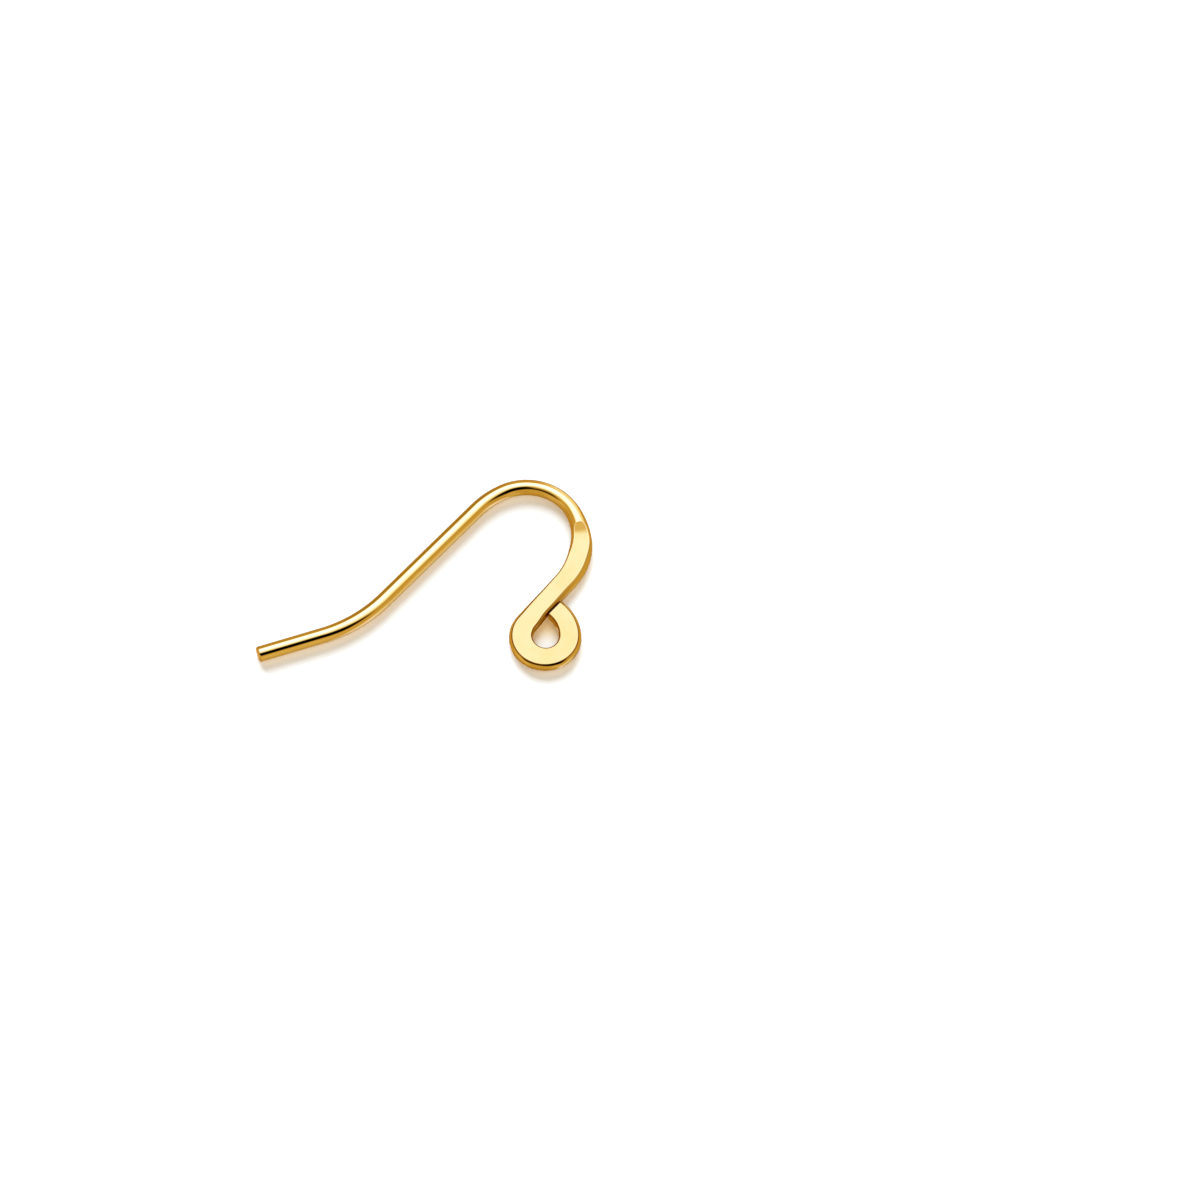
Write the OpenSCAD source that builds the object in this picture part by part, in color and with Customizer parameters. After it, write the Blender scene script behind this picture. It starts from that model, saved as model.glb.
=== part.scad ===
// Ear wire: one length of round wire, bent into a hook and pressed flat where it closes into an eye.
// It lies in the XY plane. The eye's centre is the origin and the wire's axis lies at Z = 0.

/* [Wire] */
// Diameter of the round wire
wire_d = 0.8; // [0.6:0.05:1]
// Rounding of the edge at the wire's blunt tip
tip_round = 0.08; // [0.02:0.02:0.2]

/* [Eye] */
// Diameter of the eye's round hole
eye_d = 1.3; // [1:0.05:1.8]
// Radius of the last bend, from the round of the eye up to the cut end
close_r = 2.1; // [1.9:0.1:3]
// Gap between the cut end and the side of the stem
close_gap = 0.06; // [0.02:0.02:0.3]

/* [Flat band] */
// Width of the pressed band
band_w = 1.14; // [1:0.02:1.3]
// Thickness of the pressed band
band_t = 0.58; // [0.44:0.02:0.7]
// Edge rounding on the outside of a bend
outer_round = 0.2; // [0.1:0.01:0.2]
// Edge rounding on the inside of a bend
inner_round = 0.13; // [0.05:0.01:0.2]
// Length of the arch's end that is pressed along with the neck
press_lead = 0.5; // [0.2:0.1:1.5]

/* [Hook] */
// Angle of the straight stem above the X axis
stem_angle = 51; // [40:1:65]
// Length of the straight stem
stem_len = 3.1; // [2:0.1:5]
// Radius of the neck above the stem
neck_r = 3.75; // [3:0.05:6]
// Turn of the neck
neck_turn = 65.5; // [50:0.5:80]
// Radius of the arch that hangs in the ear
arch_r = 2.7; // [2.4:0.1:4]
// Turn of the arch
arch_turn = 90.5; // [70:0.5:100]
// Radius of the easier bend between the arch and the leg
brow_r = 4.6; // [3:0.1:8]
// Turn of that bend
brow_turn = 21; // [5:0.5:30]
// Length of the straight leg
leg_len = 7; // [5:0.1:9]
// Radius of the bend at the foot of the leg
knee_r = 7.4; // [4:0.1:10]
// Turn of that bend, away from the eye
knee_turn = 29.5; // [10:0.5:40]
// Length of the straight tip
tip_len = 3.4; // [2:0.1:6]

/* [Hidden] */
$fn = 96;

wire_r = wire_d / 2;
loop_r = (eye_d + band_w) / 2;
neck_len = neck_r * neck_turn * PI / 180;
lead_turn = press_lead / arch_r * 180 / PI;
press_len = stem_len + neck_len + press_lead;

// The closing bend starts at the eye's +X side and stops where its nearer corner meets the gap.
// Distances are measured from the eye's centre towards the stem's right side, square to the stem.
gap_plane = band_w / 2 + close_gap - loop_r;
close_centre = (loop_r - close_r) * sin(stem_angle);
function close_reach(r) = acos((gap_plane - close_centre) / r) + stem_angle - 90;
close_turn = min(close_reach(close_r - band_w / 2), close_reach(close_r + band_w / 2));

// Sections of the pressed length, from the eye up to the round wire.
// place: share of the pressed length
// spread: how far the width has gone from the wire's (0) to the band's (1)
// thin: how far the thickness has gone from the wire's (0) to the band's (1)
// flat: how far the round has given way to a flat with rounded edges (0 to 1)
// side: which side is the outside of the bend, from the left (0) to the right (1)
PLACE = 0;
SPREAD = 1;
THIN = 2;
FLAT = 3;
SIDE = 4;
pressed = [
    [0.00, 1.00, 1.00, 1.00, 0.0],
    [0.12, 0.90, 1.00, 1.00, 0.3],
    [0.26, 0.82, 1.00, 1.00, 0.8],
    [0.39, 0.90, 1.00, 1.00, 1.0],
    [0.50, 1.08, 1.00, 1.00, 1.0],
    [0.58, 1.14, 1.00, 1.00, 1.0],
    [0.665, 1.03, 1.00, 0.99, 1.0],
    [0.71, 0.88, 0.90, 0.95, 1.0],
    [0.755, 0.64, 0.70, 0.87, 1.0],
    [0.79, 0.47, 0.52, 0.75, 0.8],
    [0.81, 0.39, 0.34, 0.58, 0.7],
    [0.83, 0.33, 0.00, 0.00, 0.5],
    [0.89, 0.18, 0.00, 0.00, 0.5],
    [0.95, 0.06, 0.00, 0.00, 0.5],
    [1.00, 0.00, 0.00, 0.00, 0.5]
];

// Rings are this far apart at most, and each round edge has this many steps
ring_step = 0.24;
edge_steps = 7;

// Every second stretch is slimmer by this much all round and enters its neighbours by this depth,
// so that the whole wire joins into one solid
slim = 0.004;
seat = 0.02;

function mix(a, b, t) = a + (b - a) * t;

// Centre and heading at a distance along the pressed length, from the foot of the stem
function on_bend(s, r, start, heading) =
    let (turn = s / r * 180 / PI)
    [
        start.x + r * (sin(heading + turn) - sin(heading)),
        start.y - r * (cos(heading + turn) - cos(heading)),
        heading + turn
    ];
neck_end = on_bend(neck_len, neck_r, [stem_len, 0], 0);
function on_press(s) =
    s <= stem_len ? [s, 0, 0] :
    s <= stem_len + neck_len ? on_bend(s - stem_len, neck_r, [stem_len, 0], 0) :
    on_bend(s - stem_len - neck_len, arch_r, neck_end, neck_turn);

// A row of the table is one ring, and long steps between rows are divided
function rows_at(row, col) = pressed[row][col];
function ring_places() =
    [
        for (row = [0:len(pressed) - 2])
            let (
                low = rows_at(row, PLACE),
                high = rows_at(row + 1, PLACE),
                parts = ceil((high - low) * press_len / ring_step)
            )
            for (part = [0:parts - 1])
                [row, part / parts],
        [len(pressed) - 2, 1]
    ];
function between(at, col) = mix(rows_at(at[0], col), rows_at(at[0] + 1, col), at[1]);

// One ring: four elliptical corners, counter-clockwise seen from the eye up the stem
function corner(half_w, half_t, run, rise, sx, sz, from) =
    [
        for (step = [0:edge_steps])
            let (a = from + 90 * step / edge_steps)
            [sx * (half_w - run) + run * cos(a), sz * (half_t - rise) + rise * sin(a)]
    ];
function ring_outline(at) =
    let (
        half_w = mix(wire_r, band_w / 2, between(at, SPREAD)) - slim,
        half_t = mix(wire_r, band_t / 2, between(at, THIN)) - slim,
        flat = between(at, FLAT),
        left_round = mix(outer_round, inner_round, between(at, SIDE)),
        right_round = mix(inner_round, outer_round, between(at, SIDE)),
        left_run = mix(half_w, left_round, flat),
        left_rise = mix(half_t, left_round, flat),
        right_run = mix(half_w, right_round, flat),
        right_rise = mix(half_t, right_round, flat)
    )
    concat(
        corner(half_w, half_t, left_run, left_rise, 1, 1, 0),
        corner(half_w, half_t, right_run, right_rise, -1, 1, 90),
        corner(half_w, half_t, right_run, right_rise, -1, -1, 180),
        corner(half_w, half_t, left_run, left_rise, 1, -1, 270)
    );
function ring_points(at) =
    let (p = on_press(mix(-seat, press_len + seat, between(at, PLACE))))
    [
        for (q = ring_outline(at))
            [p.x - q[0] * sin(p.z), p.y + q[0] * cos(p.z), q[1]]
    ];

module pressed_length() {
    places = ring_places();
    rings = len(places);
    sides = 4 * (edge_steps + 1);
    points = [for (at = places) each ring_points(at)];
    walls = [
        for (i = [0:rings - 2], j = [0:sides - 1])
            let (k = (j + 1) % sides)
            each [
                [i * sides + j, (i + 1) * sides + k, i * sides + k],
                [i * sides + j, (i + 1) * sides + j, (i + 1) * sides + k]
            ]
    ];
    ends = [
        [for (j = [0:sides - 1]) j],
        [for (j = [0:sides - 1]) rings * sides - 1 - j]
    ];
    polyhedron(points = points, faces = concat(walls, ends), convexity = 6);
}

// Cross-section of the band, with the inside of the bend towards -X
module band_outline() {
    inner_x = -band_w / 2 + inner_round;
    outer_x = band_w / 2 - outer_round;
    translate([inner_x, -band_t / 2])
        square([outer_x - inner_x, band_t]);
    translate([-band_w / 2, -band_t / 2 + inner_round])
        square([inner_round, band_t - 2 * inner_round]);
    translate([outer_x, -band_t / 2 + outer_round])
        square([outer_round, band_t - 2 * outer_round]);
    for (up = [-1, 1]) {
        translate([inner_x, up * (band_t / 2 - inner_round)])
            circle(r = inner_round);
        translate([outer_x, up * (band_t / 2 - outer_round)])
            circle(r = outer_round);
    }
}

// A bend to the left that starts at the origin along +X
module bend(r, turn) {
    translate([0, r, 0])
        rotate([0, 0, -90])
            rotate_extrude(angle = turn)
                translate([r, 0])
                    circle(d = wire_d);
}

// The same bend, slimmer and seated in what lies at each end
module seated_bend(r, turn) {
    seat_turn = seat / r * 180 / PI;
    translate([0, r, 0])
        rotate([0, 0, -90 - seat_turn])
            rotate_extrude(angle = turn + 2 * seat_turn)
                translate([r, 0])
                    circle(r = wire_r - slim);
}

// Carries its children to the end of a bend to the left
module after_bend(r, turn) {
    translate([0, r, 0])
        rotate([0, 0, turn])
            translate([0, -r, 0])
                children();
}

module straight(length) {
    rotate([0, 90, 0])
        cylinder(d = wire_d, h = length);
}

// The tip is a straight end with its edge rounded off
module tip() {
    rotate([0, 90, 0]) {
        cylinder(d = wire_d, h = tip_len - tip_round);
        cylinder(r = wire_r - tip_round, h = tip_len);
        translate([0, 0, tip_len - tip_round])
            rotate_extrude()
                translate([wire_r - tip_round, 0])
                    circle(r = tip_round);
    }
}

module eye() {
    rotate([0, 0, 90 + stem_angle])
        rotate_extrude(angle = 270 - stem_angle)
            translate([loop_r, 0])
                band_outline();
    translate([loop_r - close_r, 0, 0])
        rotate_extrude(angle = close_turn)
            translate([close_r, 0])
                band_outline();
}

// Round wire from the end of the pressed length to the tip
module round_length() {
    bend(arch_r, arch_turn - lead_turn);
    after_bend(arch_r, arch_turn - lead_turn) {
        seated_bend(brow_r, brow_turn);
        after_bend(brow_r, brow_turn) {
            straight(leg_len);
            translate([leg_len, 0, 0])
                mirror([0, 1, 0]) {
                    seated_bend(knee_r, knee_turn);
                    after_bend(knee_r, knee_turn)
                        tip();
                }
        }
    }
}

module ear_wire() {
    color([0.96, 0.80, 0.38])
        union() {
            eye();
            rotate([0, 0, stem_angle])
                translate([0, loop_r, 0]) {
                    pressed_length();
                    translate([stem_len, 0, 0])
                        after_bend(neck_r, neck_turn)
                            after_bend(arch_r, lead_turn)
                                round_length();
                }
        }
}

ear_wire();
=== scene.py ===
"""Gold ear wire on a white table.

One length of round wire is bent into a hook, pressed flat at the front and curled into an eye.
Geometry Nodes sweep its cross-section along the centre line. Everything is in metres, in the
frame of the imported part: the eye's centre is the origin and the wire lies in the XY plane.
"""

import math

import bpy
from bpy.props import FloatProperty, FloatVectorProperty, IntProperty, PointerProperty
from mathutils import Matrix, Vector


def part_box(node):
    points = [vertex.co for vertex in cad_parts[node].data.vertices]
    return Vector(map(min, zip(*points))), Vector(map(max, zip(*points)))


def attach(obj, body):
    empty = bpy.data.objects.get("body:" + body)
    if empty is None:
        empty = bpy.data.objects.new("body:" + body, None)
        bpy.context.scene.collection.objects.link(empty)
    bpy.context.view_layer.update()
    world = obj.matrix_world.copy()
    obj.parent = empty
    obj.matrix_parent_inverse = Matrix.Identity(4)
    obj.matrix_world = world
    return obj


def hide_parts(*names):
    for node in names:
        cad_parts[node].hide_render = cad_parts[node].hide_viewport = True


bl_info = {
    "name": "Ear Wire",
    "version": (1, 0, 0),
    "blender": (4, 5, 0),
    "location": "3D View > Sidebar > Ear Wire",
    "description": "A polished gold ear wire, pressed flat at its eye, on a white table",
    "category": "Object",
}

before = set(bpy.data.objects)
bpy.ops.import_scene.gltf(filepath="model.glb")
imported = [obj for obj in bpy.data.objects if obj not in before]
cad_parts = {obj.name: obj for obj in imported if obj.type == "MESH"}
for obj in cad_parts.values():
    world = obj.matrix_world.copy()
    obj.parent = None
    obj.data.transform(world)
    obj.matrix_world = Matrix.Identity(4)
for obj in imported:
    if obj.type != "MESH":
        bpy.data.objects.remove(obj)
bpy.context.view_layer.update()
CAD_NODE = "ear_wire"
PIECE = "gold_wire_hook"
TABLE_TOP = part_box(CAD_NODE)[0].z
MM = 0.001

# Sections of the pressed length, from the eye up to the round wire, all as shares.
# place: share of the pressed length
# spread: how far the width has gone from the wire's to the band's, past 1 where it is wider still
# thin: how far the thickness has gone from the wire's to the band's
# flat: how far the round has given way to a flat with rounded edges
# side: which side is the outside of the bend, from the left (0) to the right (1)
PRESSED = (
    (0.000, 1.00, 1.00, 1.00, 0.00),
    (0.120, 0.90, 1.00, 1.00, 0.62),
    (0.260, 0.82, 1.00, 1.00, 0.88),
    (0.390, 0.90, 1.00, 1.00, 1.00),
    (0.500, 1.08, 1.00, 1.00, 1.00),
    (0.580, 1.14, 1.00, 1.00, 1.00),
    (0.665, 1.03, 1.00, 1.00, 0.70),
    (0.710, 0.88, 1.00, 0.97, 0.50),
    (0.755, 0.64, 0.98, 0.85, 0.50),
    (0.790, 0.51, 0.92, 0.42, 0.50),
    (0.810, 0.44, 0.80, 0.12, 0.50),
    (0.825, 0.39, 0.63, 0.00, 0.50),
    (0.836, 0.36, 0.36, 0.00, 0.50),
    (0.845, 0.33, 0.00, 0.00, 0.50),
    (0.890, 0.18, 0.00, 0.00, 0.50),
    (0.950, 0.06, 0.00, 0.00, 0.50),
    (1.000, 0.00, 0.00, 0.00, 0.50),
)
SHARES = ("spread", "thin", "flat", "side")
# The rings of the sweep lie closest between these places, where the flat runs out
RUN_OUT = (0.64, 0.86)
# The press's rounded lip leans the end of the flat more and more between these places
LIP = (0.698, 0.8)
# Other pairs of places, below 0 in the eye: from where an effect is nil to where it is full
SWELL_FADE = (0.6, 0.0)
REAMED_IN_EYE = (-0.2, -0.4)
REAMED_BELOW_FOOT = (-0.06, 0.02)
REAMED_ABOVE_FOOT = (0.25, 0.12)
NECK_BORDER = (0.0, 0.5)
WALL_BELOW = (0.0, 0.06)
WALL_ABOVE = (0.5, 0.1)
# Length from the cut end over which the swell of the eye comes in
SWELL_LEAD = 2 * MM

# Distances outwards over a rounded edge, also from where an effect is nil to where it is full
BORDER_INNER = (0.012 * MM, 0.03 * MM)
BORDER_OUTER = (0.1 * MM, 0.07 * MM)
WALL_OUT = (0.05 * MM, 0.15 * MM)
# Strength of the painted dark edge line along the neck, and of the same tone painted as shade on the
# stem's right wall
NECK_BORDER_STRENGTH = 0.45
WALL_STRENGTH = 0.8
# How flat a section is where the painted dark edge line and the pressed face come in
BORDER_FLAT = (0.85, 1.0)
FACE_FLAT = (0.3, 0.7)
# How far round a corner the face comes in, as the sine of the turn from the side to the top
FACE_TURN = (0.997, 0.9982)
# Depth of the press's cut into the round wire over which its face comes in
FACE_CUT = (0.001 * MM, 0.009 * MM)

# Inputs of the sweep, each with the size that it takes
SWEEP_INPUTS = {
    "Wire diameter": "wire_d",
    "Band width": "band_w",
    "Band thickness": "band_t",
    "Swell": "swell",
    "Reamed": "reamed",
    "Eye rounding": "eye_round",
    "Outer rounding": "outer_round",
    "Inner rounding": "inner_round",
    "Edge power": "edge_power",
    "Corner steps": "corner_steps",
}
# Distance from one ring of the sweep to the next
RINGS_AT_RUN_OUT = 0.02 * MM
RINGS_PRESSED = 0.05 * MM
RINGS_ON_BENDS = 0.08 * MM
RINGS_ON_STRAIGHTS = 0.2 * MM
# Least rounding of an edge, which keeps the points of a section apart
LEAST_ROUNDING = 0.005 * MM
# Added before a number is rounded down, so that a whole one stays whole
NUDGE = 1e-5
# Points closer than this are one, at the seam along the wire and in the middle of each end
SEAM = 1e-7

# Patterns on the straightened gold: ripples to the metre in each direction, and detail
DRAWN_LINES = ((700, 26000, 26000), 3.0)
PATCHES = ((900, 1400, 1400), 3.0)
PRESS_WAVES = ((1100, 900, 900), 1.0)
HANDLING = ((2600, 3200, 3200), 4.0)
# Values of the patches' noise between which the plating gets thicker
PATCH_EDGE = (0.35, 0.7)
# Roughness that the handling and the drawn lines add
HANDLING_ROUGHNESS = 0.03
LINE_ROUGHNESS = 0.02
# Height of the drawn lines at a strength of 1, the share of them that the press has flattened,
# and how many times as high its own waves are
LINE_HEIGHT = 0.01 * MM
LINES_PRESSED = 0.6
WAVES_TO_LINES = 6
# Reach of the painted shade that darkens the gold in a gap, and how open a point is from its darkest to
# unchanged
GAP_REACH = 0.6 * MM
GAP_OPEN = (0.2, 0.88)

# Reach within which the gold casts painted shade and painted light on the table, and how open a point
# is from no effect to all
CONTACT_REACH = 1.5 * MM
CONTACT_OPEN = (0.65, 0.2)
# Distances from the eye's centre between which the table goes from inside the eye to outside
EYE_BAND = (1.3 * MM, 1.75 * MM)
# Distances north of the eye's centre between which the painted shade and light in its hole come in
EYE_NORTH = (-0.25 * MM, 0.9 * MM)
# The white board's two tones, the ripples of its grain to the metre, and half its width
BOARD_TONES = ((0.94, 0.94, 0.94), (0.96, 0.96, 0.96))
BOARD_GRAIN = 3000.0
BOARD_HALF = 1.0
# The camera's sensor in millimetres, as its lens is, and its clipping as a ratio to its distance
SENSOR_WIDTH = 36
CLIP_RATIO = 10

# The room that the polished wire reflects: soft-edged panels, each painted over the ones before.
# Middle and half-size are in degrees from straight up: east towards +X and north towards +Y.
# name: (middle east, middle north), (half-size east, half-size north), turn, softness, brightness
ROOM_BRIGHTNESS = 0.57
ROOM = {
    "right wall": ((116, -80), (32, 45), 0, 0.6, 0.95),
    "right floor": ((150, -18), (30, 34), 0, 0.2, 0.86),
    "dark floor": ((152, 50), (34, 22), 0, 0.25, 0.46),
    "front floor": ((48, -108), (22, 40), 0, 0.6, 0.70),
    "left wall": ((-80, -50), (28, 36), 0, 0.6, 0.67),
    "far floor": ((-80, 126), (30, 22), 0, 0.5, 0.95),
    "window": ((34, 72), (20, 38), 0, 0.5, 0.84),
    "stand": ((-33, 75), (20, 14), -40, 0.7, 0.43),
    "softbox": ((6, 19), (40, 31), 0, 0.2, 0.91),
    "softbox core": ((2, 26), (24, 18), 0, 0.2, 1.0),
    "camera arm": ((-14, -41), (38, 11), -16, 0.4, 0.12),
    "camera": ((20, -36), (26, 17), -8, 0.25, 0.0),
}
# A panel's outline is an oval at a power of 2 and nears a rectangle at higher ones
PANEL_POWER = 4
# Colour of the room at each brightness: warm where it is dim, white where it is bright
ROOM_TINTS = (
    (0.00, (0.0, 0.0, 0.0)),
    (0.15, (0.04, 0.023, 0.005)),
    (0.30, (0.165, 0.1, 0.016)),
    (0.42, (0.30, 0.18, 0.027)),
    (0.53, (0.50, 0.31, 0.057)),
    (0.60, (0.60, 0.40, 0.10)),
    (0.70, (0.745, 0.565, 0.216)),
    (0.80, (0.88, 0.80, 0.53)),
    (0.87, (0.96, 0.99, 0.96)),
    (0.91, (1.0, 1.11, 1.22)),
    (0.95, (1.3, 1.23, 1.8)),
    (1.00, (2.0, 1.9, 2.6)),
)
# The table's fill changes from the user's side to the far side's over an edge in its direction,
# which lies further off on the right by the skew
FILL_SKEW = 0.35
FILL_EDGE = (-0.25, 0.25)


def size(label, text, millimetres):
    """A length that the user can change."""
    return FloatProperty(
        name=label, description=text, default=millimetres * MM, min=0.0, precision=5, unit="LENGTH"
    )


def angle(label, text, degrees):
    """An angle that the user can change."""
    return FloatProperty(
        name=label,
        description=text,
        default=math.radians(degrees),
        precision=3,
        unit="ROTATION",
        subtype="ANGLE",
    )


def offset(label, text, millimetres):
    """A place along an axis that the user can change."""
    return FloatProperty(
        name=label, description=text, default=millimetres * MM, precision=5, unit="LENGTH"
    )


def share(label, text, value):
    """A plain number that the user can change."""
    return FloatProperty(name=label, description=text, default=value, min=0.0, precision=3)


def colour(label, text, value):
    """A linear colour that the user can change."""
    return FloatVectorProperty(
        name=label, description=text, default=value, size=3, subtype="COLOR", min=0.0, soft_max=4.0
    )


class EARWIRE_PG_sizes(bpy.types.PropertyGroup):
    """Sizes of the bent wire"""

    wire_d: size("Wire diameter", "Diameter of the round wire", 0.8)
    tip_round: size("Tip rounding", "Rounding of the edge at the blunt tip", 0.12)
    cut_round: size("Cut rounding", "Rounding of the edge at the cut end beside the stem", 0.03)
    eye_d: size("Eye diameter", "Diameter of the eye's round hole", 1.3)
    close_r: size("Closing radius", "Radius of the last bend, up to the cut end", 2.1)
    close_gap: size("Closing gap", "Gap from the cut end to the stem, before its foot is reamed", 0.02)
    band_w: size("Band width", "Width of the pressed band", 1.14)
    band_t: size("Band thickness", "Thickness of the pressed band", 0.59)
    eye_round: size("Eye rounding", "Edge rounding on the outside of the eye", 0.2)
    outer_round: size("Outer rounding", "Edge rounding on the outside of the neck", 0.26)
    inner_round: size("Inner rounding", "Edge rounding on the inside of a bend", 0.1)
    edge_power: share("Edge power", "Shape of these edges, from 1 (round) to 2 (straight bevel)", 1.33)
    swell: size("Swell", "How far the outside of the eye bulges beyond the band", 0.055)
    reamed: size("Reamed", "How far the eye's lower wall and the stem's foot stand back", 0.045)
    press_lead: size("Press lead", "Length of the arch that is pressed along with the neck", 0.5)
    stem_angle: angle("Stem angle", "Angle of the straight stem above the X axis", 51)
    stem_len: size("Stem length", "Length of the straight stem", 3.1)
    neck_r: size("Neck radius", "Radius of the neck above the stem", 3.75)
    neck_turn: angle("Neck turn", "Turn of the neck", 65.5)
    arch_r: size("Arch radius", "Radius of the arch that hangs in the ear", 2.7)
    arch_turn: angle("Arch turn", "Turn of the arch", 90.5)
    brow_r: size("Brow radius", "Radius of the easier bend between arch and leg", 4.6)
    brow_turn: angle("Brow turn", "Turn of that bend", 21)
    leg_len: size("Leg length", "Length of the straight leg", 7)
    knee_r: size("Knee radius", "Radius of the bend at the foot of the leg", 7.4)
    knee_turn: angle("Knee turn", "Turn of that bend, away from the eye", 29.5)
    tip_len: size("Tip length", "Length of the straight tip", 3.46)
    corner_steps: IntProperty(
        name="Corner steps",
        description="Steps in each of the section's four corners",
        default=26,
        min=4,
        max=40,
    )


class EARWIRE_PG_finish(bpy.types.PropertyGroup):
    """Finish of the gold"""

    gold: colour("Gold", "Colour of the polished plating", (1.0, 0.78, 0.37))
    deep_gold: colour("Deep gold", "Colour of the plating where it is thicker", (1.0, 0.74, 0.31))
    # Painted shade: the plating takes this colour in a narrow gap, standing in for the shade there
    gap_shade: colour("Crevice", "Colour of the plating in a narrow gap", (0.30, 0.12, 0.02))
    # Painted shade: a dark line on the pressed faces' rounded edges stands in for their dark
    # reflection, and paints the stem's right wall
    border: colour("Border", "Colour of the plating beside the pressed faces", (0.42, 0.2, 0.02))
    rim: colour("Rim", "Tint of the reflection at grazing angles", (0.8, 0.6, 0.25))
    polish: share("Polish", "Roughness of the polished round wire", 0.05)
    pressed_polish: share("Pressed polish", "Roughness of the faces that the press left", 0.12)
    pressed_lean: angle("Pressed lean", "Lean towards the user of the faces that the press left", 12)
    lip_lean: angle("Lip lean", "Further lean at the end of the flat", 8.7)
    line_depth: share("Drawing lines", "Strength of the fine lines along the wire", 0.01)


class EARWIRE_PG_studio(bpy.types.PropertyGroup):
    """Light and camera"""

    view_tilt: angle("View tilt", "Camera's angle from straight above, towards the user", 28)
    view_width: size("View width", "Width of the table that the picture shows", 61.2)
    look_x: offset("Look at X", "Middle of the picture", 2.79)
    look_y: offset("Look at Y", "Middle of the picture", 2.18)
    lens: FloatProperty(name="Lens", description="Focal length in millimetres", default=500, min=50)
    key_height: angle("Key height", "Height of the key light above the table", 30)
    key_side: angle("Key side", "Turn of the key light from straight ahead, to the left", 8)
    key_size: angle("Key size", "How wide the key light looks from the table", 60)
    key_strength: share("Key strength", "Strength of the key light", 6.8)
    key_tint: colour("Key tint", "Colour of the key light", (0.7, 0.85, 1.0))
    fill: colour("Fill", "Light from the user's side of the room", (1.26, 1.13, 0.93))
    far_fill: colour("Far fill", "Light from the far side of the room", (0.1, 0.1, 0.1))
    # Painted warm shade on the table where the gold closes in round it, beside the eye and elsewhere
    eye_ring_shade: colour("Table warmth", "Table colour beside the gold in the eye", (0.98, 0.87, 0.70))
    contact_shade: colour("Contact warmth", "Table colour beside the gold elsewhere", (0.98, 0.92, 0.81))
    # Painted light: the table glows beside the wire and in the eye, though nothing there is a lamp
    contact: colour("Contact light", "Light from the wire on the table beside it", (0.12, 0.12, 0.10))
    # Painted warm shade on the table inside the eye's hole
    eye_hole_shade: colour("Eye warmth", "Colour of the table seen through the eye", (0.98, 0.84, 0.56))
    thrown: colour("Thrown light", "Light from the eye's wall on the table", (0.1, 0.045, 0.005))
    # Painted reflection: the amber that the gold shows instead of the white board
    table_glow: colour("Table glow", "Table colour as the gold reflects it", (0.40, 0.24, 0.05))
    table_share: share("Table share", "How much of the table the gold reflects over the room", 0.4)


class Field:
    """A node socket that takes part in Python arithmetic, each step of which adds a Math node."""

    def __init__(self, graph, socket):
        self.graph = graph
        self.socket = socket

    def maths(self, operation, *others):
        """One Math node that takes this field first."""
        values = dict(enumerate((self, *others)))
        return self.graph.field("ShaderNodeMath", {"operation": operation}, values)

    def flipped(self, operation, other):
        """One Math node that takes this field second."""
        return self.graph.field("ShaderNodeMath", {"operation": operation}, {0: other, 1: self})

    def __add__(self, other):
        return self.maths("ADD", other)

    def __radd__(self, other):
        return self.maths("ADD", other)

    def __sub__(self, other):
        return self.maths("SUBTRACT", other)

    def __rsub__(self, other):
        return self.flipped("SUBTRACT", other)

    def __mul__(self, other):
        return self.maths("MULTIPLY", other)

    def __rmul__(self, other):
        return self.maths("MULTIPLY", other)

    def __truediv__(self, other):
        return self.maths("DIVIDE", other)

    def __pow__(self, other):
        return self.maths("POWER", other)

    def between(self, start, end):
        """A smooth rise from 0 at start to 1 at end."""
        values = {"Value": self, "From Min": start, "From Max": end}
        return self.graph.field("ShaderNodeMapRange", {"interpolation_type": "SMOOTHSTEP"}, values)


class Graph:
    """Adds nodes to one node tree.

    A Mix node's inputs 2 and 3 are for numbers, 4 and 5 for vectors and 6 and 7 for colours.
    """

    def __init__(self, tree):
        self.tree = tree

    def add(self, kind, settings=None, values=None):
        """One node: its settings first, then the values or links of its sockets."""
        node = self.tree.nodes.new(kind)
        for name, value in (settings or {}).items():
            if name == "stops":
                self.set_stops(node.color_ramp.elements, value)
            else:
                setattr(node, name, value)
        for key, value in (values or {}).items():
            if isinstance(value, Field):
                self.tree.links.new(value.socket, node.inputs[key])
            else:
                node.inputs[key].default_value = value
        return node

    @staticmethod
    def set_stops(elements, stops):
        while len(elements) < len(stops):
            elements.new(1.0)
        for element, (position, tint) in zip(elements, stops):
            element.position = position
            element.color = rgba(tint)

    def field(self, kind, settings=None, values=None, output=0):
        return Field(self, self.add(kind, settings, values).outputs[output])

    def mix(self, start, end, factor):
        """Number that goes from start to end."""
        return self.field("ShaderNodeMix", {"clamp_factor": False}, {0: factor, 2: start, 3: end})

    def blend(self, factor, under, over):
        """Colour that goes from under to over."""
        values = {0: factor, 6: rgba(under), 7: rgba(over)}
        return self.field("ShaderNodeMix", {"data_type": "RGBA"}, values, 2)


def rgba(value):
    """A colour as its socket takes it, or the link that stands for one."""
    return value if isinstance(value, Field) else (*value, 1.0)


def bend_point(start, heading, length, turn, distance):
    """Place and heading after a distance along a stretch that turns evenly."""
    part = turn * distance / length
    if turn == 0:
        ahead, aside = distance, 0.0
    else:
        radius = length / turn
        ahead, aside = radius * math.sin(part), radius * (1 - math.cos(part))
    forward = Vector((math.cos(heading), math.sin(heading), 0))
    left = Vector((-forward.y, forward.x, 0))
    return start + forward * ahead + left * aside, heading + part


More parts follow.
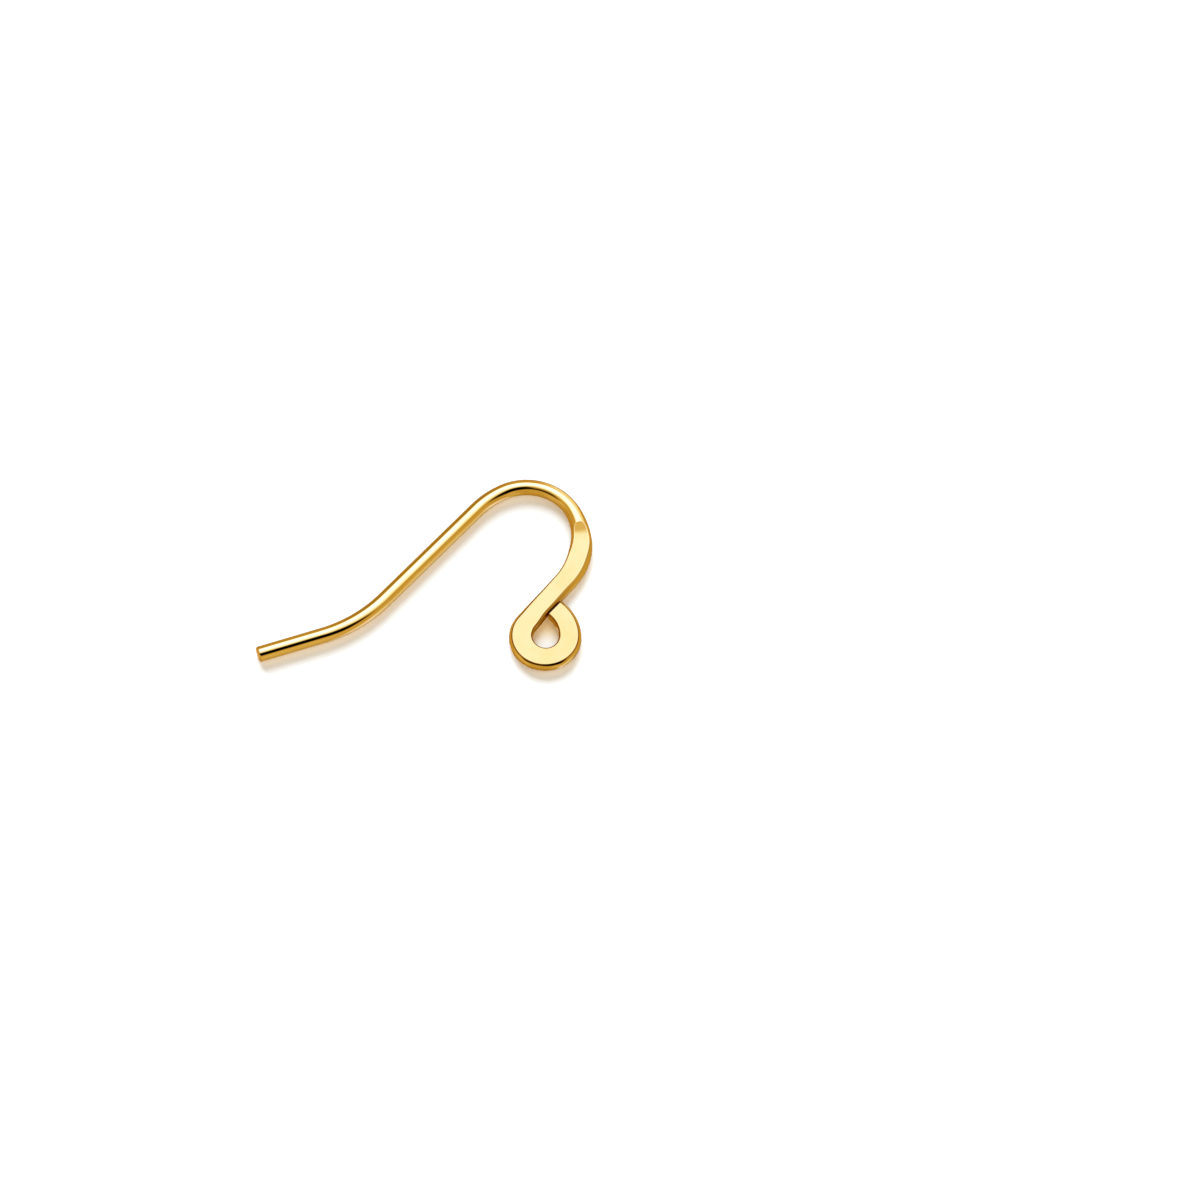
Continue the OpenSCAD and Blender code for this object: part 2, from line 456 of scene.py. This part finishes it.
class CentreLine:
    """The middle of the wire, from the cut end beside the stem round the eye and out to the tip."""

    def __init__(self, sizes):
        loop_r = (sizes.eye_d + sizes.band_w) / 2
        loop_turn = math.pi * 1.5 - sizes.stem_angle
        close_turn = self.close_turn(sizes, loop_r)
        stretches = (
            ("close", sizes.close_r * close_turn, -close_turn),
            ("loop", loop_r * loop_turn, -loop_turn),
            ("stem", sizes.stem_len, 0.0),
            ("neck", sizes.neck_r * sizes.neck_turn, sizes.neck_turn),
            ("arch", sizes.arch_r * sizes.arch_turn, sizes.arch_turn),
            ("brow", sizes.brow_r * sizes.brow_turn, sizes.brow_turn),
            ("leg", sizes.leg_len, 0.0),
            ("knee", sizes.knee_r * sizes.knee_turn, -sizes.knee_turn),
            ("tip", sizes.tip_len, 0.0),
        )
        middle = Vector((loop_r - sizes.close_r, 0, 0))
        place = middle + sizes.close_r * Vector((math.cos(close_turn), math.sin(close_turn), 0))
        heading = close_turn - math.pi / 2
        distance = 0.0
        self.stretches = []
        self.starts = {}
        for name, length, turn in stretches:
            self.starts[name] = distance
            self.stretches.append((distance, place, heading, length, turn))
            place, heading = bend_point(place, heading, length, turn, length)
            distance += length
        self.length = distance
        self.press_start = self.starts["stem"]
        self.press_end = self.starts["arch"] + sizes.press_lead

    @staticmethod
    def close_turn(sizes, loop_r):
        """How far the last bend goes before its nearer corner meets the gap."""
        gap_plane = sizes.band_w / 2 + sizes.close_gap - loop_r
        centre = (loop_r - sizes.close_r) * math.sin(sizes.stem_angle)
        radii = (sizes.close_r - sizes.band_w / 2, sizes.close_r + sizes.band_w / 2)
        nearer = min(math.acos((gap_plane - centre) / r) for r in radii)
        return nearer + sizes.stem_angle - math.pi / 2

    def at(self, distance):
        """Place and heading at a distance along the wire."""
        found = [s for s in self.stretches if s[0] <= distance] or self.stretches[:1]
        start, place, heading, length, turn = found[-1]
        return bend_point(place, heading, length, turn, distance - start)

    def pressed(self, distance):
        """Share of the pressed length, below 0 in the eye and above 1 in the round wire."""
        return (distance - self.press_start) / (self.press_end - self.press_start)

    def spacing(self, distance):
        """Distance to the next ring: closest where the flat runs out."""
        if RUN_OUT[0] < self.pressed(distance) < RUN_OUT[1]:
            return RINGS_AT_RUN_OUT
        if distance < self.press_end:
            return RINGS_PRESSED
        if distance < self.starts["leg"]:
            return RINGS_ON_BENDS
        return RINGS_ON_STRAIGHTS


def slope(rows, k, col):
    """Slope of a column at a row: level at both ends and where the column turns back."""
    if not 0 < k < len(rows) - 1:
        return 0.0
    before = (rows[k][col] - rows[k - 1][col]) / (rows[k][0] - rows[k - 1][0])
    after = (rows[k + 1][col] - rows[k][col]) / (rows[k + 1][0] - rows[k][0])
    return 2 * before * after / (before + after) if before * after > 0 else 0.0


def eased(rows, place):
    """Values of a table at a place, on curves that never overshoot its rows."""
    if place <= rows[0][0]:
        return rows[0][1:]
    if place >= rows[-1][0]:
        return rows[-1][1:]
    i = max(k for k in range(len(rows) - 1) if rows[k][0] <= place)
    step = rows[i + 1][0] - rows[i][0]
    t = (place - rows[i][0]) / step
    found = []
    for col in range(1, len(rows[0])):
        low, high = rows[i][col], rows[i + 1][col]
        leaving, arriving = slope(rows, i, col), slope(rows, i + 1, col)
        found.append(
            low * (1 + 2 * t) * (1 - t) ** 2
            + high * t * t * (3 - 2 * t)
            + step * (leaving * t * (1 - t) ** 2 - arriving * t * t * (1 - t))
        )
    return found


def end_rings(rounding, steps=8, on_face=1.2):
    """Rings from the middle of an end face over its rounded edge: depth, inset and scale of each.

    The second ring lies on the face, on_face roundings in from the edge, and keeps it flat.
    """
    rings = [(0.0, rounding, 0.0), (0.0, rounding * on_face, 1.0)]
    for step in range(steps + 1):
        turn = math.pi / 2 * step / steps
        rings.append((rounding * (1 - math.cos(turn)), rounding * (1 - math.sin(turn)), 1.0))
    return rings


def route_mesh(sizes):
    """A chain of points, one for each ring, with the shape of the section at each as attributes."""
    line = CentreLine(sizes)
    rings = end_rings(sizes.cut_round)
    distance = sizes.cut_round + line.spacing(0)
    last = line.length - sizes.tip_round
    while distance < last - RINGS_AT_RUN_OUT:
        rings.append((distance, 0.0, 1.0))
        distance += line.spacing(distance)
    tip = [(line.length - depth, inset, scale) for depth, inset, scale in end_rings(sizes.tip_round)]
    rings += reversed(tip)

    mesh = bpy.data.meshes.new(PIECE)
    mesh.vertices.add(len(rings))
    columns = {name: [] for name in ("heading", "along", "place", "inset", "scale", *SHARES)}
    points = []
    for distance, inset, scale in rings:
        point, heading = line.at(distance)
        points.extend(point)
        place = line.pressed(distance)
        row = (heading, distance, place, inset, scale, *eased(PRESSED, place))
        for name, value in zip(columns, row):
            columns[name].append(value)
    mesh.vertices.foreach_set("co", points)
    for name, values in columns.items():
        mesh.attributes.new(name, "FLOAT", "POINT").data.foreach_set("value", values)
    return mesh


def standing_out(swell, reamed, flat, place, along, on_left, on_right):
    """How far the section stands out on the outside of the eye, and back on its inner wall."""
    out = swell * flat * place.between(*SWELL_FADE) * on_left * along.between(0.0, SWELL_LEAD)
    at_foot = place.between(*REAMED_BELOW_FOOT) * place.between(*REAMED_ABOVE_FOOT)
    back = reamed * flat * (place.between(*REAMED_IN_EYE) + at_foot) * on_right
    return out - back


def painted_edge_tone(g, flat, place, out, on_right):
    """Strength of a painted dark line beside the pressed faces, and of painted shade on the stem's
    right wall.
    """
    line = out.between(*BORDER_INNER) * out.between(*BORDER_OUTER) * flat.between(*BORDER_FLAT)
    line = line * g.mix(1.0, NECK_BORDER_STRENGTH, place.between(*NECK_BORDER))
    wall = on_right * flat * out.between(*WALL_OUT)
    wall = wall * place.between(*WALL_BELOW) * place.between(*WALL_ABOVE)
    return line.maths("MAXIMUM", wall * WALL_STRENGTH)


def sweep_tree(material):
    """Geometry Nodes that carry the section along the chain of points."""
    tree = bpy.data.node_groups.new("Wire sweep", "GeometryNodeTree")
    add_socket = tree.interface.new_socket
    add_socket("Geometry", in_out="OUTPUT", socket_type="NodeSocketGeometry")
    add_socket("Centre line", in_out="INPUT", socket_type="NodeSocketGeometry")
    for name in SWEEP_INPUTS:
        kind = "NodeSocketInt" if name == "Corner steps" else "NodeSocketFloat"
        add_socket(name, in_out="INPUT", socket_type=kind)
    g = Graph(tree)
    given = g.add("NodeGroupInput")
    chain = Field(g, given.outputs["Centre line"])
    wire_d, band_w, band_t, swell, reamed, at_eye, outer, inner, edge_power, steps = (
        Field(g, given.outputs[name]) for name in SWEEP_INPUTS
    )

    # A grid with one row of points for each ring, and its last column on its first
    per_corner = steps + 1
    sides = per_corner * 4
    across = sides + 1
    rings = g.field("GeometryNodeAttributeDomainSize", None, {"Geometry": chain})
    grid = g.field("GeometryNodeMeshGrid", None, {"Vertices X": rings, "Vertices Y": across})
    index = g.field("GeometryNodeInputIndex")
    ring = (index / across + NUDGE).maths("FLOOR")
    column = (index - ring * across).maths("MODULO", sides)

    def on_chain(value, kind="FLOAT"):
        values = {"Geometry": chain, "Value": value, "Index": ring}
        return g.field("GeometryNodeSampleIndex", {"data_type": kind}, values)

    def stored(name):
        """The chain's value at this point's ring."""
        settings = {"data_type": "FLOAT"}
        return on_chain(g.field("GeometryNodeInputNamedAttribute", settings, {"Name": name}))

    heading, along, place, inset, scale, spread, thin, flat, side = (
        stored(n) for n in ("heading", "along", "place", "inset", "scale", *SHARES)
    )

    # Four corners. Where the wire is round, their points lie evenly all round it
    corner = (column / per_corner + NUDGE).maths("FLOOR")
    step = (column - corner * per_corner) / steps
    gap = (1 - flat) * 0.5 / per_corner
    turn = (corner + gap + step * (1 - 2 * gap)) * (math.pi / 2)
    middle = (corner + 0.5) * (math.pi / 2)

    # 1 on the left and on top, -1 on the right and below
    left = middle.maths("COSINE").maths("SIGN")
    up = middle.maths("SINE").maths("SIGN")
    on_left = 0.5 + left * 0.5
    on_right = 0.5 - left * 0.5

    # The section's outline, which the press cuts off level at half its thickness
    half_w = g.mix(wire_d, band_w, spread) / 2
    half_w = half_w + standing_out(swell, reamed, flat, place, along, on_left, on_right)
    half_t = g.mix(wire_d, band_t, thin) / 2
    uncut_t = g.mix(wire_d / 2, half_t, flat)
    rounding = g.mix(g.mix(at_eye, outer, side), inner, 0.5 + left * (side - 0.5))
    run = (g.mix(half_w, rounding, flat) - inset).maths("MAXIMUM", LEAST_ROUNDING)
    rise = (g.mix(uncut_t, rounding, flat) - inset).maths("MAXIMUM", LEAST_ROUNDING)
    power = g.mix(1.0, edge_power, flat)
    level = turn.maths("SINE").maths("ABSOLUTE")
    out = run * turn.maths("COSINE").maths("ABSOLUTE") ** power
    aside = left * (half_w - inset - run + out) * scale
    uncut = uncut_t - inset - rise + rise * level**power
    height = up * uncut.maths("MINIMUM", half_t) * scale
    face = level.between(*FACE_TURN) * flat.between(*FACE_FLAT)
    face = face.maths("MAXIMUM", (uncut - half_t).between(*FACE_CUT))

    position = g.field("GeometryNodeInputPosition")
    centre = g.add("ShaderNodeSeparateXYZ", None, {0: on_chain(position, "FLOAT_VECTOR")})
    x, y, z = (Field(g, s) for s in centre.outputs)
    placed = g.field(
        "ShaderNodeCombineXYZ",
        None,
        {0: x - aside * heading.maths("SINE"), 1: y + aside * heading.maths("COSINE"), 2: z + height},
    )
    straight = g.field("ShaderNodeCombineXYZ", None, {0: along, 1: aside, 2: height})

    def store(geometry, name, kind, value):
        settings = {"data_type": kind, "domain": "POINT"}
        values = {"Geometry": geometry, "Name": name, "Value": value}
        return g.field("GeometryNodeStoreNamedAttribute", settings, values)

    shell = store(grid, "straight", "FLOAT_VECTOR", straight)
    # Painted dark edge line and painted shade on the stem's right wall, for the base colour
    shell = store(shell, "pressed_border", "FLOAT", painted_edge_tone(g, flat, place, out, on_right))
    shell = store(shell, "pressed_face", "FLOAT", face)
    shell = store(shell, "pressed_place", "FLOAT", place)
    shell = g.field("GeometryNodeSetPosition", None, {"Geometry": shell, "Position": placed})
    shell = g.field("GeometryNodeMergeByDistance", None, {"Geometry": shell, "Distance": SEAM})
    shell = g.field("GeometryNodeSetShadeSmooth", None, {"Geometry": shell})
    shell = g.field("GeometryNodeRealizeInstances", None, {"Geometry": shell})
    shell = g.field("GeometryNodeSetMaterial", None, {"Geometry": shell, "Material": material})
    g.add("NodeGroupOutput", None, {"Geometry": shell})
    return tree


def leaning_normal(g, finish, face, lip):
    """The surface's own normal, which on the pressed faces leans towards the user instead."""
    surface = g.field("ShaderNodeNewGeometry", None, None, "Normal")
    upward = g.field("ShaderNodeSeparateXYZ", None, {0: surface}, "Z").maths("SIGN")
    leans = (finish.pressed_lean, finish.pressed_lean + finish.lip_lean)
    tangent = g.mix(math.tan(leans[0]), math.tan(leans[1]), lip)
    lean = g.field("ShaderNodeCombineXYZ", None, {1: tangent * -1, 2: upward})
    values = {0: face, 4: surface, 5: lean}
    leaning = g.field("ShaderNodeMix", {"data_type": "VECTOR"}, values, 1)
    return g.field("ShaderNodeVectorMath", {"operation": "NORMALIZE"}, {0: leaning})


def gold_material(finish):
    """Polished gold plating with faint lines along the wire, softer pressed faces, and painted shade in
    gaps and beside pressed faces.
    """
    material = bpy.data.materials.new("gold_plating")
    material.use_nodes = True
    material.node_tree.nodes.clear()
    g = Graph(material.node_tree)

    def stored(name, output="Fac"):
        """What the sweep stored on the mesh."""
        return g.field("ShaderNodeAttribute", {"attribute_name": name}, None, output)

    straight = stored("straight", "Vector")
    face = stored("pressed_face")

    def noise(ripples, detail):
        """Noise on the straightened wire."""
        scaled = g.field("ShaderNodeVectorMath", {"operation": "MULTIPLY"}, {0: straight, 1: ripples})
        values = {"Vector": scaled, "Scale": 1.0, "Detail": detail, "Roughness": 0.55}
        return g.field("ShaderNodeTexNoise", None, values)

    lines = noise(*DRAWN_LINES)
    base = g.blend(noise(*PATCHES).between(*PATCH_EDGE), finish.gold, finish.deep_gold)
    # Painted dark edge line beside the pressed faces and painted shade on the stem's right wall
    base = g.blend(stored("pressed_border"), base, finish.border)
    # Painted shade: the gold goes towards the gap colour where the gold itself closes in round a point
    settings = {"only_local": True, "samples": 6}
    open_room = g.field("ShaderNodeAmbientOcclusion", settings, {"Distance": GAP_REACH}, "AO")
    base = g.blend(open_room.between(*GAP_OPEN), finish.gap_shade, base)
    roughness = g.mix(finish.polish, finish.pressed_polish, face)
    roughness = roughness + (noise(*HANDLING) - 0.5) * HANDLING_ROUGHNESS
    roughness = roughness + (lines - 0.5) * LINE_ROUGHNESS
    relief = lines * (1 - LINES_PRESSED * face) + noise(*PRESS_WAVES) * face * WAVES_TO_LINES
    values = {"Strength": finish.line_depth, "Distance": LINE_HEIGHT, "Height": relief}
    values["Normal"] = leaning_normal(g, finish, face, stored("pressed_place").between(*LIP))
    values = {
        "Base Color": base,
        "Metallic": 1.0,
        "Roughness": roughness,
        "Specular Tint": rgba(finish.rim),
        "Normal": g.field("ShaderNodeBump", None, values),
    }
    shader = g.field("ShaderNodeBsdfPrincipled", None, values)
    g.add("ShaderNodeOutputMaterial", None, {"Surface": shader})
    return material


def build_wire(sizes, finish):
    """Sweeps the wire and turns the result into a plain mesh."""
    hook = bpy.data.objects.new(PIECE, route_mesh(sizes))
    bpy.context.scene.collection.objects.link(hook)
    tree = sweep_tree(gold_material(finish))
    modifier = hook.modifiers.new("Sweep", "NODES")
    modifier.node_group = tree
    for item in tree.interface.items_tree:
        if item.name in SWEEP_INPUTS:
            modifier[item.identifier] = getattr(sizes, SWEEP_INPUTS[item.name])
    depsgraph = bpy.context.evaluated_depsgraph_get()
    swept = bpy.data.meshes.new_from_object(
        hook.evaluated_get(depsgraph), preserve_all_data_layers=True, depsgraph=depsgraph
    )
    hook.modifiers.remove(modifier)
    hook.data = swept
    swept.name = PIECE
    return hook


def studio_world(studio):
    """A room around the table: what the polished wire reflects, and plain light for the table."""
    world = bpy.data.worlds.new("Studio")
    world.use_nodes = True
    world.node_tree.nodes.clear()
    # The room differs from one kind of ray to the next, so it isn't sampled as a light
    world.cycles.sampling_method = "NONE"
    g = Graph(world.node_tree)
    direction = g.field("ShaderNodeTexCoord", None, None, "Generated")
    parts = g.add("ShaderNodeSeparateXYZ", None, {0: direction})
    x, y, z = (Field(g, s) for s in parts.outputs)

    # Degrees from straight up: east towards +X and north towards +Y. Least keeps off a division by 0
    least = 1e-4
    from_top = z.maths("ARCCOSINE") * (180 / math.pi)
    sideways = (x * x + y * y).maths("SQRT").maths("MAXIMUM", least)
    east = x * from_top / sideways
    north = y * from_top / sideways

    def panel(middle, half, turn, soft):
        """1 inside a panel with rounded corners and 0 outside, with an edge as a share of its size."""
        right, ahead = east - middle[0], north - middle[1]
        cosine, sine = math.cos(math.radians(turn)), math.sin(math.radians(turn))
        across = ((right * cosine + ahead * sine) / half[0]).maths("ABSOLUTE")
        along = ((ahead * cosine - right * sine) / half[1]).maths("ABSOLUTE")
        outline = (across**PANEL_POWER + along**PANEL_POWER) ** (1 / PANEL_POWER)
        return outline.between(1 + soft, 1 - soft)

    brightness = ROOM_BRIGHTNESS
    for middle, half, turn, soft, value in ROOM.values():
        brightness = g.mix(brightness, value, panel(middle, half, turn, soft))
    seen = g.field("ShaderNodeValToRGB", {"stops": ROOM_TINTS}, {0: brightness})

    rays = g.add("ShaderNodeLightPath")
    glossy = Field(g, rays.outputs["Is Glossy Ray"])
    camera = Field(g, rays.outputs["Is Camera Ray"])
    fill = g.blend((y - x * FILL_SKEW).between(*FILL_EDGE), studio.fill, studio.far_fill)
    light = g.blend(camera, g.blend(glossy, fill, seen), (1, 1, 1))
    back = g.field("ShaderNodeBackground", None, {"Color": light, "Strength": 1.0})
    g.add("ShaderNodeOutputWorld", None, {"Surface": back})
    return world


def table_material(studio):
    """Matt white board with a faint grain, with painted warm shade and painted light where the gold is
    close.

    The gold itself sees the board in a warm colour and partly clear, with the room behind it.
    """
    material = bpy.data.materials.new("white_board")
    material.use_nodes = True
    material.node_tree.nodes.clear()
    g = Graph(material.node_tree)
    place = g.field("ShaderNodeTexCoord", None, None, "Object")
    values = {"Vector": place, "Scale": BOARD_GRAIN, "Detail": 3.0}
    base = g.blend(g.field("ShaderNodeTexNoise", None, values), *BOARD_TONES)
    settings = {"samples": 3}
    open_room = g.field("ShaderNodeAmbientOcclusion", settings, {"Distance": CONTACT_REACH}, "AO")
    closed = open_room.between(*CONTACT_OPEN)
    parts = g.add("ShaderNodeSeparateXYZ", None, {0: place})
    x, y = (Field(g, parts.outputs[axis]) for axis in "XY")
    from_eye = (x * x + y * y).maths("SQRT")
    outside = from_eye.between(*EYE_BAND)
    # Painted warm shade on the table where the gold closes in round it
    base = g.blend(closed, base, g.blend(outside, studio.eye_ring_shade, studio.contact_shade))
    in_eye = from_eye.between(*reversed(EYE_BAND)) * y.between(*EYE_NORTH)
    # Painted warm shade on the table inside the eye's hole
    base = g.blend(in_eye, base, studio.eye_hole_shade)
    # Painted light: the board glows beside the wire and in the eye's hole
    thrown = g.blend(in_eye, g.blend(closed * outside, (0, 0, 0), studio.contact), studio.thrown)
    glossy = g.field("ShaderNodeLightPath", None, None, "Is Glossy Ray")
    # Painted reflection: glossy rays see the board in amber instead of white
    base = g.blend(glossy, base, studio.table_glow)
    values = {"Base Color": base, "Roughness": 1.0, "Specular IOR Level": 0.0}
    values |= {"Emission Color": thrown, "Emission Strength": 1.0}
    board = g.field("ShaderNodeBsdfPrincipled", None, values)
    clear = g.field("ShaderNodeBsdfTransparent")
    values = {0: glossy * (1 - studio.table_share), 1: board, 2: clear}
    shader = g.field("ShaderNodeMixShader", None, values)
    g.add("ShaderNodeOutputMaterial", None, {"Surface": shader})
    return material


def build_table(studio):
    """The table top under the wire."""
    sides = ((-1, -1), (1, -1), (1, 1), (-1, 1))
    corners = [(x * BOARD_HALF, y * BOARD_HALF, TABLE_TOP) for x, y in sides]
    mesh = bpy.data.meshes.new("table_top")
    mesh.from_pydata(corners, [], [(0, 1, 2, 3)])
    mesh.materials.append(table_material(studio))
    table = bpy.data.objects.new("table_top", mesh)
    bpy.context.scene.collection.objects.link(table)


def build_key(studio):
    """A soft key light that only the table sees."""
    lamp = bpy.data.lights.new("Key", "SUN")
    lamp.energy = studio.key_strength
    lamp.color = studio.key_tint
    lamp.angle = studio.key_size
    key = bpy.data.objects.new("Key", lamp)
    level = math.cos(studio.key_height)
    right = -math.sin(studio.key_side) * level
    ahead = math.cos(studio.key_side) * level
    towards = Vector((right, ahead, math.sin(studio.key_height)))
    key.rotation_euler = towards.to_track_quat("Z", "Y").to_euler()
    key.visible_glossy = False
    bpy.context.scene.collection.objects.link(key)


def build_camera(studio):
    """A long lens, so that the wire is seen nearly without perspective."""
    data = bpy.data.cameras.new("Camera")
    data.sensor_width = SENSOR_WIDTH
    data.lens = studio.lens
    distance = studio.view_width * studio.lens / SENSOR_WIDTH
    data.clip_start = distance / CLIP_RATIO
    data.clip_end = distance * CLIP_RATIO
    camera = bpy.data.objects.new("Camera", data)
    towards = Vector((0, -math.sin(studio.view_tilt), math.cos(studio.view_tilt)))
    camera.location = Vector((studio.look_x, studio.look_y, 0)) + towards * distance
    camera.rotation_euler = towards.to_track_quat("Z", "Y").to_euler()
    bpy.context.scene.collection.objects.link(camera)
    bpy.context.scene.camera = camera


class EARWIRE_OT_wire(bpy.types.Operator):
    """Bend, press and finish the wire"""

    bl_idname = "ear_wire.wire"
    bl_label = "Make Wire"

    def execute(self, context):
        scene = context.scene
        hook = build_wire(scene.ear_wire_sizes, scene.ear_wire_finish)
        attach(hook, "root")
        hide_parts(CAD_NODE)
        return {"FINISHED"}


class EARWIRE_OT_stage(bpy.types.Operator):
    """Set up the table, the light and the camera"""

    bl_idname = "ear_wire.stage"
    bl_label = "Set Stage"

    def execute(self, context):
        scene = context.scene
        studio = scene.ear_wire_studio
        scene.view_settings.view_transform = "Standard"
        scene.world = studio_world(studio)
        build_table(studio)
        build_key(studio)
        build_camera(studio)
        return {"FINISHED"}


class EARWIRE_PT_panel(bpy.types.Panel):
    """Lists the steps and their settings"""

    bl_idname = "EARWIRE_PT_panel"
    bl_label = "Ear Wire"
    bl_space_type = "VIEW_3D"
    bl_region_type = "UI"
    bl_category = "Ear Wire"

    def draw(self, context):
        layout = self.layout
        scene = context.scene
        steps = (
            (EARWIRE_OT_stage.bl_idname, (scene.ear_wire_studio,)),
            (EARWIRE_OT_wire.bl_idname, (scene.ear_wire_sizes, scene.ear_wire_finish)),
        )
        for operator, groups in steps:
            box = layout.box()
            box.operator(operator)
            for group in groups:
                for name in group.__annotations__:
                    box.prop(group, name)


CLASSES = (
    EARWIRE_PG_sizes,
    EARWIRE_PG_finish,
    EARWIRE_PG_studio,
    EARWIRE_OT_wire,
    EARWIRE_OT_stage,
    EARWIRE_PT_panel,
)


def register():
    for cls in CLASSES:
        bpy.utils.register_class(cls)
    bpy.types.Scene.ear_wire_sizes = PointerProperty(type=EARWIRE_PG_sizes)
    bpy.types.Scene.ear_wire_finish = PointerProperty(type=EARWIRE_PG_finish)
    bpy.types.Scene.ear_wire_studio = PointerProperty(type=EARWIRE_PG_studio)


def unregister():
    del bpy.types.Scene.ear_wire_studio
    del bpy.types.Scene.ear_wire_finish
    del bpy.types.Scene.ear_wire_sizes
    for cls in reversed(CLASSES):
        bpy.utils.unregister_class(cls)


def main():
    register()
    bpy.ops.ear_wire.stage()
    bpy.ops.ear_wire.wire()


if __name__ == "__main__":
    main()
